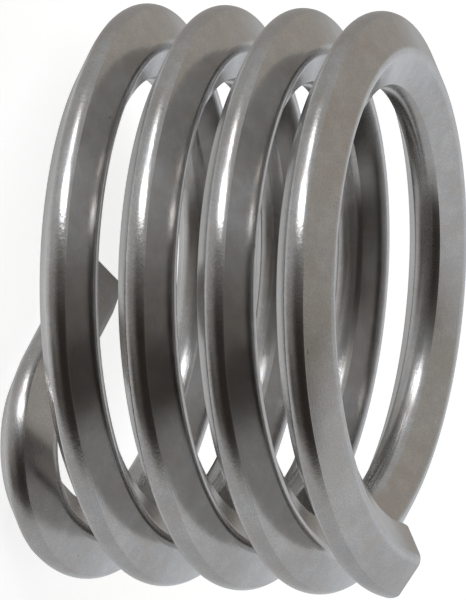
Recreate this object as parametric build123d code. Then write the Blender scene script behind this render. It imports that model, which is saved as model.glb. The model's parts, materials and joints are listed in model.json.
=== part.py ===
"""Helical thread insert: a right-hand coil of diamond wire with a driving tang, in millimetres.

The insert stands on its tang end, with the coil's axis along +Z and the free end up. The origin is on the
axis, at the height of the wire's lowest point.
"""

from build123d import *
import os
from math import acos, degrees, pi, radians, sin, tan

# Thread: 18 turns to the inch, which goes with a 5/16 inch screw.
PITCH = 1.4111
COIL_TURNS = 4.045  # from the tang's bend to the free end
COIL_RADIUS = 4.35  # coil axis to the wire's waist, with the insert free

# Wire section: a diamond. The outer half fits the tapped hole, and the inner half carries the screw.
WIRE_WIDTH = 1.02  # along the coil's axis, between the waist's corners before they are rounded
WAIST_ROUNDING = 0.1
OUTER_CREST_HEIGHT = 0.63  # waist to outer crest
OUTER_CREST_FLAT = 0.25
INNER_CREST_HEIGHT = 0.69  # waist to inner crest
INNER_CREST_FLAT = 0.35

# Tang: the end of the wire, bent across the bore so that the driving tool can push it round.
BEND_RADIUS = 1.55  # of the wire's waist
TANG_BESIDE_AXIS = 0.115  # how far from the coil's axis the tang passes
TANG_PAST_AXIS = 0.25  # how far beyond the axis it ends

# Notch on the side that faces away from the free end, where the tang snaps off after driving.
NOTCH_DEPTH = 0.22
NOTCH_ANGLE = 70  # between its two sides

# Both ends of the wire are cut square and chamfered.
END_CHAMFER = 0.08
FREE_END_STRAIGHT = 0.15  # the free end's last stretch, which the coiling leaves straight

START_ANGLE = -20.2  # from +X round the axis to where the bend leaves the coil
CUTTER_OVERRUN = 0.1


def wire_section(plane):
    """The wire's drawn section, on a plane across the wire."""
    outer_crest = (OUTER_CREST_HEIGHT, OUTER_CREST_FLAT / 2)
    waist = (0, WIRE_WIDTH / 2)
    inner_crest = (-INNER_CREST_HEIGHT, INNER_CREST_FLAT / 2)
    upper_half = [outer_crest, waist, inner_crest]
    lower_half = [(x, -y) for x, y in reversed(upper_half)]
    diamond = Polygon(*upper_half, *lower_half, align=None)
    corners = diamond.vertices().group_by(Axis.Y)
    return plane * fillet(corners[0] + corners[-1], WAIST_ROUNDING)


def across_wire(turns):
    """The plane across the wire this many turns up the coil.

    Its x points away from the coil's axis, its y to the free end and its z along the wire to the tang.
    """
    lead = PITCH / (2 * pi * COIL_RADIUS)
    start = Plane(origin=(COIL_RADIUS, 0, 0), x_dir=(1, 0, 0), z_dir=(0, -1, -lead))
    climb = Location((0, 0, PITCH * turns), (0, 0, 360 * turns))
    return Plane(climb * start.location)


def straight_end(plane, length):
    """A straight run of wire along the plane's z, with its cut face chamfered."""
    run = extrude(wire_section(plane), length)
    cut_face = run.faces().sort_by(Axis(plane.origin, plane.z_dir))[-1]
    return chamfer(cut_face.edges(), END_CHAMFER)


def coil():
    """The section carried up the helix, and the free end of the wire."""
    helix = Helix(pitch=PITCH, height=PITCH * COIL_TURNS, radius=COIL_RADIUS)
    thread = sweep(wire_section(across_wire(0)), path=helix, is_frenet=True)
    away_from_tang = Plane(across_wire(COIL_TURNS).location * Rot(180, 0, 0))
    return thread + straight_end(away_from_tang, FREE_END_STRAIGHT)


def tang():
    """The bend, in the plane that the coil's wire leaves along, and the straight run over the bore."""
    start = across_wire(0)
    centre_to_axis = COIL_RADIUS - BEND_RADIUS
    bend_angle = acos(-(BEND_RADIUS + TANG_BESIDE_AXIS) / centre_to_axis)
    run_to_axis = centre_to_axis * sin(bend_angle)
    centre = start.location * Pos(-BEND_RADIUS, 0, 0)
    bend_end = Plane(centre * Rot(0, -degrees(bend_angle), 0) * Pos(BEND_RADIUS, 0, 0))
    bend = revolve(wire_section(start), Axis(centre.position, -start.y_dir), degrees(bend_angle))
    return bend + straight_end(bend_end, run_to_axis + TANG_PAST_AXIS)


def notch_cutter():
    """A wedge laid across the wire where the bend leaves the coil, point up in its lower waist."""
    start = across_wire(0)
    root = NOTCH_DEPTH - WIRE_WIDTH / 2
    mouth = -CUTTER_OVERRUN - WIRE_WIDTH / 2
    half_width = (root - mouth) * tan(radians(NOTCH_ANGLE / 2))
    wedge = Polygon((0, root), (-half_width, mouth), (half_width, mouth), align=None)
    along_wire = Plane(origin=start.origin, x_dir=start.z_dir, z_dir=-start.x_dir)
    reach = max(OUTER_CREST_HEIGHT, INNER_CREST_HEIGHT)
    return extrude(along_wire * wedge, reach, both=True)


insert = Rot(0, 0, START_ANGLE) * (coil() + tang() - notch_cutter())
insert = Pos(0, 0, -insert.bounding_box().min.Z) * insert

os.makedirs("parts", exist_ok=True)
export_step(insert, "parts/insert_coil.step")
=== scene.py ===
"""A helical thread insert of drawn stainless wire, standing on its tang end on a pale floor."""

import json
from math import asin, cos, hypot, pi, radians, sin, tan

import bpy
from mathutils import Matrix, Vector


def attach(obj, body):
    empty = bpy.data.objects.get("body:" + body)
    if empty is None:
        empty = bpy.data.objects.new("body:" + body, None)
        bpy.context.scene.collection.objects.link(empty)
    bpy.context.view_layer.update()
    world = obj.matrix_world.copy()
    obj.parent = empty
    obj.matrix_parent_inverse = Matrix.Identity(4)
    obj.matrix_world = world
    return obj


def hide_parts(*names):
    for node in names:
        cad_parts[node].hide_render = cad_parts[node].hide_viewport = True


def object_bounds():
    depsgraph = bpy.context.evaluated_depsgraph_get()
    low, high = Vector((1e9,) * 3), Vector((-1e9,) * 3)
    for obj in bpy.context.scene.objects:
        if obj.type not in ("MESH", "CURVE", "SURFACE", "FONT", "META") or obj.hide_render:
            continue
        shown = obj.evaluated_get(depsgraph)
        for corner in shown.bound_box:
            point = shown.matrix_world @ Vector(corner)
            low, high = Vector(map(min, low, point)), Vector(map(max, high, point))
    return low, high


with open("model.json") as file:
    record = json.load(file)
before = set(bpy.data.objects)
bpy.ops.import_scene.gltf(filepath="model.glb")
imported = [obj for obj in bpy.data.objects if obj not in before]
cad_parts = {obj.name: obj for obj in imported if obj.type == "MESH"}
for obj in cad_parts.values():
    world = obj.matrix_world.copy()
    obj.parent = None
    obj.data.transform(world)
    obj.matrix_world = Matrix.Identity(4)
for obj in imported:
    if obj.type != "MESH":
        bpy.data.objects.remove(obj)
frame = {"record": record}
cad_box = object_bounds()
MM = 0.001


# ---------------------------------------------------------------------------------------------------------
# The wire, one piece: diamond wire drawn straight, cut to length, notched where its tang is to snap off, and
# coiled. The tang is bent in from the coil's first turn and passes just beside the coil's axis. The sizes
# that the solid shares are read from it, and the rest are those of the wire itself.
# ---------------------------------------------------------------------------------------------------------

threads = {mount["name"]: mount for mount in frame["record"]["mounts"]}
outer_radius = threads["external_thread"]["dims"]["r_mm"] * MM
pitch = 25.4 * MM / 18
coil_turns = 4.0545
start_angle = radians(-25.97)
coil_radius = 4.303 * MM
end_turn_closing = 0.065 * MM  # how much smaller the coil is where the tang's bend begins
closing_turns = 1.37

wire_width = 1.09 * MM
waist_rounding = 0.13 * MM  # each rounding is given by its reach along the flanks
outer_crest_height = outer_radius - coil_radius
outer_crest_width = 0.35 * MM
inner_crest_height = 0.645 * MM
inner_crest_width = 0.455 * MM
crest_slope = radians(38)  # of both crests at their edges, where they meet the flanks

bend_radius = 1.272 * MM
bend_angle = radians(117.2)
bend_dip = radians(1.64)
tang_length = 2.92 * MM
notch_depth = 0.22 * MM
notch_angle = radians(70)
end_rounding = 0.08 * MM
ring_spacing = 0.1 * MM

bend_length = bend_radius * bend_angle
coil_length = coil_turns * hypot(2 * pi * coil_radius, pitch)
notch_along = tang_length + bend_length
wire_length = notch_along + coil_length


def pick_vertices(piece, wanted):
    """Selects the vertices of a piece in edit mode whose place passes the test."""
    bpy.ops.object.mode_set(mode="OBJECT")
    for part in (piece.data.polygons, piece.data.edges):
        part.foreach_set("select", [False] * len(part))
    for vertex in piece.data.vertices:
        vertex.select = wanted(vertex.co)
    bpy.ops.object.mode_set(mode="EDIT")


def apply_modifier(piece, kind, **settings):
    """Adds one modifier to a piece with its settings and applies it."""
    modifier = piece.modifiers.new(kind.title(), kind)
    for name, value in settings.items():
        setattr(modifier, name, value)
    bpy.context.view_layer.objects.active = piece
    bpy.ops.object.modifier_apply(modifier=modifier.name)


# The section, seen along the wire: the outer crest is to -Y and the free end's side to +Z. Each crest has a
# peak between two edges, and is rounded into a low arc from edge to edge.
bpy.ops.object.select_all(action="DESELECT")
bpy.ops.mesh.primitive_circle_add(vertices=8, radius=coil_radius, fill_type="NOTHING")
wire = bpy.context.object
wire.name = wire.data.name = "insert_wire"
outer_edge = outer_crest_width / 2 * tan(crest_slope / 2) - outer_crest_height
inner_edge = inner_crest_height - inner_crest_width / 2 * tan(crest_slope / 2)
section_corners = [
    (0, outer_edge - outer_crest_width / 2 * tan(crest_slope), 0),
    (0, outer_edge, outer_crest_width / 2),
    (0, 0, wire_width / 2),
    (0, inner_edge, inner_crest_width / 2),
    (0, inner_edge + inner_crest_width / 2 * tan(crest_slope), 0),
    (0, inner_edge, -inner_crest_width / 2),
    (0, 0, -wire_width / 2),
    (0, outer_edge, -outer_crest_width / 2),
]
for vertex, corner in zip(wire.data.vertices, section_corners):
    vertex.co = corner

bpy.ops.object.mode_set(mode="EDIT")
bpy.ops.mesh.select_mode(type="VERT")
crest_rounding = 0.99 / 2 / cos(crest_slope)
corner_roundings = [
    (lambda place: place.y < -outer_crest_height, crest_rounding * outer_crest_width, 12),
    (lambda place: abs(place.z) > 0.4 * wire_width, waist_rounding, 6),
    (lambda place: place.y > inner_crest_height, crest_rounding * inner_crest_width, 12),
]
for at_corner, rounding, segments in corner_roundings:
    pick_vertices(wire, at_corner)
    bpy.ops.mesh.bevel(affect="VERTICES", offset=rounding, offset_type="OFFSET", segments=segments)

# One short length of it, repeated to make the straight wire, with both ends closed and their rims eased.
rings = round(wire_length / ring_spacing)
bpy.ops.mesh.select_all(action="SELECT")
bpy.ops.mesh.extrude_edges_move(TRANSFORM_OT_translate={"value": (wire_length / rings, 0, 0)})
bpy.ops.object.mode_set(mode="OBJECT")
apply_modifier(
    wire, "ARRAY", count=rings, use_relative_offset=True, relative_offset_displace=(1, 0, 0),
    use_merge_vertices=True, merge_threshold=0.001 * MM,
)
for end, direction in ((0, -1), (wire_length, 1)):
    pick_vertices(wire, lambda place: abs(place.x - end) < 0.1 * ring_spacing)
    bpy.ops.mesh.edge_face_add()
    for share, inset in ((0.3, 0.95), (0.6, 0.8)):
        bpy.ops.mesh.extrude_region_move(
            TRANSFORM_OT_translate={"value": (direction * share * end_rounding, 0, 0)}
        )
        bpy.ops.transform.resize(value=(1, inset, inset), center_override=(end, 0, 0))
bpy.ops.mesh.select_all(action="SELECT")
bpy.ops.mesh.normals_make_consistent(inside=False)
bpy.ops.object.mode_set(mode="OBJECT")

# The notch, cut by a three-sided bar laid across the underside of the wire with one edge up.
bar_radius = wire_width
bpy.ops.mesh.primitive_cylinder_add(vertices=3, radius=bar_radius, depth=3 * wire_width)
bar = bpy.context.object
bar_corners = [
    (0, notch_depth - wire_width / 2),
    (bar_radius * tan(notch_angle / 2), notch_depth - wire_width / 2 - bar_radius),
    (-bar_radius * tan(notch_angle / 2), notch_depth - wire_width / 2 - bar_radius),
]
for index, vertex in enumerate(bar.data.vertices):
    along, up = bar_corners[index // 2]
    side = 1 if index % 2 else -1
    vertex.co = (notch_along + along, side * 2 * wire_width, up)
bpy.ops.object.mode_set(mode="EDIT")
bpy.ops.mesh.normals_make_consistent(inside=False)
bpy.ops.object.mode_set(mode="OBJECT")
apply_modifier(wire, "BOOLEAN", operation="DIFFERENCE", object=bar, solver="EXACT")
bpy.data.objects.remove(bar)

# Where each point of the surface lay on the straight wire, for the marks that drawing left along it. X is
# the distance from the tang's tip, and Y runs from the outer crest to the inner one.
drawn = wire.data.attributes.new("drawn", "FLOAT_VECTOR", "POINT")
for point, vertex in zip(drawn.data, wire.data.vertices):
    point.vector = vertex.co

# The line that the wire is coiled to, from the tang's tip to the free end.
start_height = 0.6236 * MM
line_step = radians(1.5)


def coil_point(turn):
    """The middle of the wire this many turns up the coil, which closes in a little towards the tang."""
    radius = coil_radius - end_turn_closing * max(0, 1 - turn / closing_turns) ** 2
    angle = start_angle + 2 * pi * turn
    return Vector((radius * cos(angle), radius * sin(angle), start_height + pitch * turn))


bend_start = coil_point(0)
ahead = (coil_point(0.001) - bend_start).normalized()
outwards = Vector((bend_start.x, bend_start.y, 0)).normalized()
outwards = (outwards - ahead * outwards.dot(ahead)).normalized()
outwards = Matrix.Rotation(-bend_dip, 3, ahead) @ outwards
bend_axis = outwards.cross(ahead)
bend_centre = bend_start - outwards * bend_radius
line = []
bend_steps = round(bend_angle / line_step)
for step in range(bend_steps, 0, -1):
    turned = Matrix.Rotation(-bend_angle * step / bend_steps, 3, bend_axis)
    line.append((bend_centre + turned @ outwards * bend_radius, turned @ ahead))
tang_top, tang_ahead = line[0]
line.insert(0, (tang_top - tang_ahead * tang_length, tang_ahead))
coil_steps = round(2 * pi * coil_turns / line_step)
for step in range(coil_steps + 1):
    line.append((coil_point(coil_turns * step / coil_steps), None))

# The wire is bent along that line. A tilt keeps its section square to the bend where the line isn't level.
curve = bpy.data.curves.new("coil_line", "CURVE")
curve.dimensions = "3D"
curve.twist_mode = "Z_UP"
spline = curve.splines.new("POLY")
spline.points.add(len(line) - 1)
for point, (place, bent_ahead) in zip(spline.points, line):
    point.co = (*place, 1)
    if bent_ahead:
        level = (Vector((0, 0, 1)) - bent_ahead * bent_ahead.z).normalized()
        point.tilt = asin(level.cross(bend_axis).dot(bent_ahead))
coil_line = bpy.data.objects.new("coil_line", curve)
bpy.context.scene.collection.objects.link(coil_line)
apply_modifier(wire, "CURVE", object=coil_line, deform_axis="POS_X")
bpy.data.objects.remove(coil_line)

bpy.ops.object.select_all(action="DESELECT")
wire.select_set(True)
bpy.ops.object.shade_smooth_by_angle(angle=radians(15))
apply_modifier(wire, "WEIGHTED_NORMAL", keep_sharp=True)


class Nodes:
    """Adds nodes to one node tree and hands back their outputs."""

    def __init__(self, tree):
        self.tree = tree

    def add(self, kind, settings=None, inputs=None):
        """Adds one node, sets it up, and fills its inputs with values or with other nodes' outputs."""
        node = self.tree.nodes.new(kind)
        for name, value in (settings or {}).items():
            setattr(node, name, value)
        for key, value in (inputs or {}).items():
            if isinstance(value, Output):
                self.tree.links.new(value.socket, node.inputs[key])
            else:
                node.inputs[key].default_value = value
        return Output(self, node.outputs[0])

    def smooth(self, value, low, high):
        """A smooth step from 0 where the value is at most low to 1 where it is at least high."""
        return self.add(
            "ShaderNodeMapRange", {"interpolation_type": "SMOOTHSTEP"},
            {"Value": value, "From Min": low, "From Max": high},
        )

    def mix(self, factor, first, second):
        """A colour between two colours."""
        mixed = self.add("ShaderNodeMix", {"data_type": "RGBA"}, {0: factor, 6: first, 7: second})
        return mixed["Result", 2]

    def noise(self, place, scale, **inputs):
        """Fractal noise from 0 to 1 at a place in metres, with its scale in features per millimetre."""
        inputs = {name.replace("_", " ").title(): value for name, value in inputs.items()}
        return self.add("ShaderNodeTexNoise", {}, {"Vector": place, "Scale": scale / MM, **inputs})


class Output:
    """One output of a node, which can be used in sums as if it were a number."""

    def __init__(self, nodes, socket):
        self.nodes = nodes
        self.socket = socket

    def __getitem__(self, key):
        outputs = self.socket.node.outputs
        return Output(self.nodes, outputs[key[1]] if isinstance(key, tuple) else outputs[key])

    def math(self, operation, *operands):
        return self.nodes.add("ShaderNodeMath", {"operation": operation}, dict(enumerate(operands)))

    def __add__(self, other):
        return self.math("ADD", self, other)

    def __sub__(self, other):
        return self.math("SUBTRACT", self, other)

    def __rsub__(self, other):
        return self.math("SUBTRACT", other, self)

    def __mul__(self, other):
        return self.math("MULTIPLY", self, other)

    __radd__ = __add__
    __rmul__ = __mul__


steel = bpy.data.materials.new("stainless_wire")
steel.use_nodes = True
nodes = Nodes(steel.node_tree)
shader = steel.node_tree.nodes["Principled BSDF"]
shader.inputs["Metallic"].default_value = 1


def drive(name, value):
    """Links an output to one of the shader's inputs."""
    steel.node_tree.links.new(value.socket, shader.inputs[name])


# The parts of the wire that differ in finish, each 1 there and 0 elsewhere.
place = nodes.add("ShaderNodeAttribute", {"attribute_name": "drawn"})["Vector"]
along = nodes.add("ShaderNodeSeparateXYZ", {}, {0: place})
outer_crest = 1 - nodes.smooth(along["Y"], -0.625 * MM, -0.61 * MM)
inner_crest = nodes.smooth(along["Y"], inner_edge, inner_edge + 0.01 * MM)
bend = 1 - nodes.smooth(along["X"], notch_along, notch_along + 1 * MM)
tang_tip = 1 - nodes.smooth(along["X"], 0.4 * tang_length, 0.8 * tang_length)

# What drawing and handling left on the surface: lines along the wire, pebbling, specks, clouds and pits.
stretched = nodes.add("ShaderNodeVectorMath", {"operation": "MULTIPLY"}, {0: place, 1: (0.1, 1, 1)})
grain = nodes.noise(stretched, 30, detail=3)
orange_peel = nodes.noise(place, 17, detail=4, roughness=0.75)
speckle = nodes.noise(place, 45, detail=1)
mottling = nodes.noise(place, 2.2, detail=4, roughness=0.6)
blotches = nodes.noise(place, 4, detail=4, roughness=0.7)
pits = 1 - nodes.smooth(nodes.noise(place, 6, detail=1), 0.17, 0.23)

tone = nodes.mix(nodes.smooth(mottling, 0.3, 0.7), (0.57, 0.545, 0.515, 1), (0.66, 0.655, 0.65, 1))
tone = nodes.mix(nodes.smooth(blotches, 0.35, 0.75) * 0.7, tone, (0.54, 0.555, 0.575, 1))
tone = nodes.mix(nodes.smooth(speckle, 0.3, 0.8) * 0.5, tone, (0.4, 0.385, 0.37, 1))
tone = nodes.mix(pits * 0.45, tone, (0.2, 0.18, 0.16, 1))
drive("Base Color", tone)

# The wire is bright, a little duller inside the coil and on the bend, and most of all at the tang's tip.
polish = 0.1 + 0.08 * mottling + 0.05 * grain + 0.08 * inner_crest
drive("Roughness", polish + 0.1 * bend + 0.3 * tang_tip)

# The flanks are lined along the wire, and the outer crest is pebbled like orange peel.
relief = grain * (0.35 - 0.35 * outer_crest - 0.3 * inner_crest)
relief = relief + orange_peel * (0.25 + 2.8 * outer_crest - 0.22 * inner_crest) - pits * 0.8
bump = nodes.add("ShaderNodeBump", {}, {"Height": relief, "Strength": 0.12, "Distance": 0.01 * MM})
drive("Normal", bump)
wire.data.materials.append(steel)

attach(wire, "root")
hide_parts("insert_coil")


# ---------------------------------------------------------------------------------------------------------
# The floor, white and level under the tang's end. It shows the insert's shadow, and the metal above it shows
# the pale lower half of the studio in its place.
# ---------------------------------------------------------------------------------------------------------

bpy.ops.object.select_all(action="DESELECT")
bpy.ops.mesh.primitive_plane_add(size=2, location=(0, 0, cad_box[0].z))
floor = bpy.context.object
floor.name = "floor"
floor.visible_glossy = False
paper = bpy.data.materials.new("white_paper")
paper.use_nodes = True
nodes = Nodes(paper.node_tree)
ray = nodes.add("ShaderNodeLightPath")
shader = paper.node_tree.nodes["Principled BSDF"]
shader.inputs["Base Color"].default_value = (0.8, 0.8, 0.8, 1)
shader.inputs["Roughness"].default_value = 1
shader.inputs["Specular IOR Level"].default_value = 0
shader.inputs["Emission Strength"].default_value = 0.74
glow = nodes.mix(ray["Is Camera Ray"] + ray["Is Transmission Ray"], (0, 0, 0, 1), (1, 1, 1, 1))
paper.node_tree.links.new(glow.socket, shader.inputs["Emission Color"])
floor.data.materials.append(paper)

# ---------------------------------------------------------------------------------------------------------
# The studio around the insert, drawn by direction: pale walls, a long and a small lamp at the front left and
# a dark opening at the front right. Directions are in degrees, around from the front towards +X and up.
# ---------------------------------------------------------------------------------------------------------

world = bpy.data.worlds.new("studio")
world.use_nodes = True
nodes = Nodes(world.node_tree)
along_x = nodes.add("ShaderNodeSeparateXYZ", {}, {0: nodes.add("ShaderNodeTexCoord")})
to_front = along_x["Y"] * -1
to_degrees = 180 / pi
around = along_x.math("ARCTAN2", along_x, to_front) * to_degrees
height = along_x.math("ARCSINE", along_x["Z"]) * to_degrees


def between(value, low, high, soft):
    """1 between two angles and 0 beyond them, with a soft change of this width at both."""
    half = soft / 2
    return nodes.smooth(value, low - half, low + half) * (1 - nodes.smooth(value, high - half, high + half))


def patch(colour, below, sides, levels, soft_sides, soft_levels):
    """Lays one soft patch of colour between two directions around and two heights over what is there."""
    shape = between(around, *sides, soft_sides) * between(height, *levels, soft_levels)
    return nodes.mix(shape, below, colour)


# The walls, grey, and browner behind on the -X side and overhead.
wall = patch((0.42, 0.39, 0.355, 1), (0.46, 0.46, 0.455, 1), (-166, -115), (-90, 70), 12, 30)
wall = nodes.mix(nodes.smooth(height, 62, 84), wall, (0.35, 0.32, 0.285, 1))
wall = patch((0.28, 0.255, 0.225, 1), wall, (100, 200), (73, 100), 40, 14)

# The ground, a little darker on the -X side and pale straight below.
ground = patch((0.42, 0.42, 0.415, 1), (0.49, 0.49, 0.495, 1), (-190, -60), (-55, 10), 40, 30)
ground = nodes.mix(nodes.smooth(height, -76, -54), (0.64, 0.64, 0.64, 1), ground)
studio = nodes.mix(nodes.smooth(height, -20, 10), ground, wall)

# What stands against the walls: dark and low behind on the -X side, and pale behind and on the +X side.
studio = patch((0.36, 0.345, 0.33, 1), studio, (-164, -122), (-45, 6), 14, 20)
studio = patch((0.485, 0.49, 0.498, 1), studio, (80, 190), (-30, 73), 30, 14)
studio = patch((0.58, 0.585, 0.595, 1), studio, (104, 172), (32, 72), 30, 16)
studio = patch((0.68, 0.7, 0.735, 1), studio, (156, 190), (-20, 50), 30, 20)
studio = patch((0.62, 0.63, 0.65, 1), studio, (-200, -170), (-4, 30), 10, 16)
behind = nodes.smooth(around.math("ABSOLUTE", around), 108, 145) * between(height, -75, -42, 16)
studio = nodes.mix(behind, studio, (0.78, 0.79, 0.81, 1))

# What is low at the front, darkest to the right.
studio = patch((0.25, 0.235, 0.22, 1), studio, (-12, 60), (-60, 0), 44, 50)
studio = patch((0.07, 0.064, 0.058, 1), studio, (30, 56), (-30, 10), 24, 30)
studio = patch((0.1, 0.092, 0.085, 1), studio, (24, 60), (-52, -26), 14, 14)

# The dark opening, with a softer left edge, which leans to the right as it rises.
leaning = nodes.smooth(height, 35, 75)
to_left = around + leaning * 6
to_right = around - height * 0.27 - leaning * 50
reach = (1 - nodes.smooth(to_right, 49, 75)) * nodes.smooth(height, -36, 6)
studio = nodes.mix(reach * nodes.smooth(to_left, -31, -14), studio, (0.16, 0.152, 0.145, 1))
opening = reach * nodes.smooth(to_left, -18, 12)
inside = nodes.mix(nodes.smooth(height, 38, 74), (0.033, 0.028, 0.024, 1), (0.15, 0.133, 0.115, 1))
studio = nodes.mix(opening, studio, inside)

# The lamps, the long one and the small one, with the pale wall that they light.
studio = patch((0.65, 0.66, 0.68, 1), studio, (-64, -34), (-40, 25), 20, 30)
studio = patch((1.3, 1.32, 1.35, 1), studio, (-76, -45), (-12, 10), 12, 16)
studio = patch((9, 9.2, 9.5, 1), studio, (-44, -34), (-10, 20), 6, 20)
studio = patch((12, 11.3, 11.2, 1), studio, (-65, -59), (-1, 7), 5, 6)

ray = nodes.add("ShaderNodeLightPath")
shown = nodes.mix(ray["Is Camera Ray"] + ray["Is Transmission Ray"], studio, (1, 1, 1, 1))
world.node_tree.links.new(shown.socket, world.node_tree.nodes["Background"].inputs["Color"])
bpy.context.scene.world = world

# ---------------------------------------------------------------------------------------------------------
# The camera, looking down at the standing coil and turned on its side.
# ---------------------------------------------------------------------------------------------------------

camera_height_angle = radians(19.97)
camera_roll = radians(92.59)
camera_distance = 240 * MM
picture_height = 10.222 * MM
aim = Vector((0.042 * MM, 0, start_height + 2.539 * MM))
toward_camera = Vector((0, -cos(camera_height_angle), sin(camera_height_angle)))
facing = toward_camera.to_track_quat("Z", "Y") @ Matrix.Rotation(camera_roll, 3, "Z").to_quaternion()

camera = bpy.data.objects.new("camera", bpy.data.cameras.new("camera"))
camera.data.sensor_width = 36
camera.data.lens = camera.data.sensor_width * camera_distance / picture_height
camera.data.clip_start = 0.1 * camera_distance
camera.data.clip_end = 10 * camera_distance
camera.rotation_mode = "QUATERNION"
camera.rotation_quaternion = facing
camera.location = aim + toward_camera * camera_distance
bpy.context.scene.collection.objects.link(camera)
bpy.context.scene.camera = camera

bpy.context.scene.view_settings.view_transform = "Standard"
